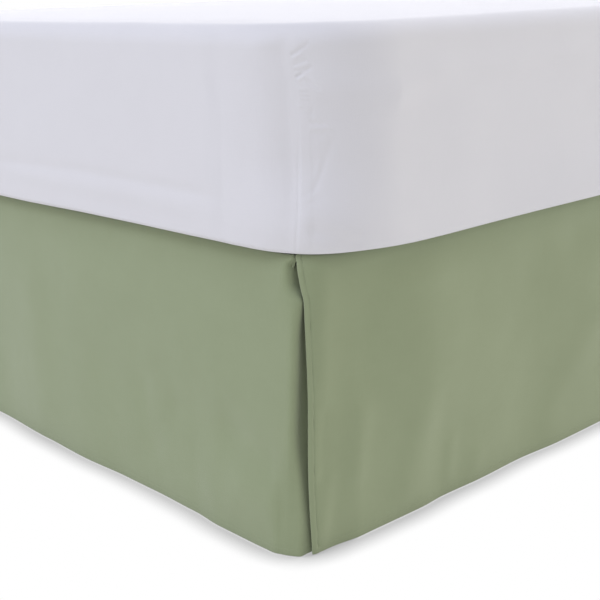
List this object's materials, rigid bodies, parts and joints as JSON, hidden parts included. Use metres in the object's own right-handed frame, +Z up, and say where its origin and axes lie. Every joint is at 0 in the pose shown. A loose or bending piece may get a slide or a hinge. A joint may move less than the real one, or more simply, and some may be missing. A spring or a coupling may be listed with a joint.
{
  "type": "bed skirt on a bed",
  "caption": "Tailored bed skirt with split foot corners on a plain bed: a deck under the mattress carries flat hemmed panels that hang to the floor.",
  "frame": {"origin": "middle of the underside of the whole box, on the floor", "axes": "+X across the bed towards the side that the picture shows on the right, +Y from the foot to the head, +Z up"},
  "size_m": [1.556, 2.0484, 0.6506],
  "materials": {
    "skirt_cloth": "matt plain-woven sage green cloth",
    "mattress_cover": "matt smooth white cloth",
    "foundation_cover": "matt off-white ticking",
    "leg_wood": "satin lacquered beech, mid brown"
  },
  "bodies": {
    "root": {"deck": "skirt_cloth", "panel_foot": "skirt_cloth", "panel_right": "skirt_cloth", "panel_left": "skirt_cloth", "mattress": "mattress_cover", "foundation": "foundation_cover", "leg_foot_left": "leg_wood", "leg_foot_right": "leg_wood", "leg_middle_left": "leg_wood", "leg_middle_right": "leg_wood", "leg_head_left": "leg_wood", "leg_head_right": "leg_wood"}
  },
  "joints": []
}
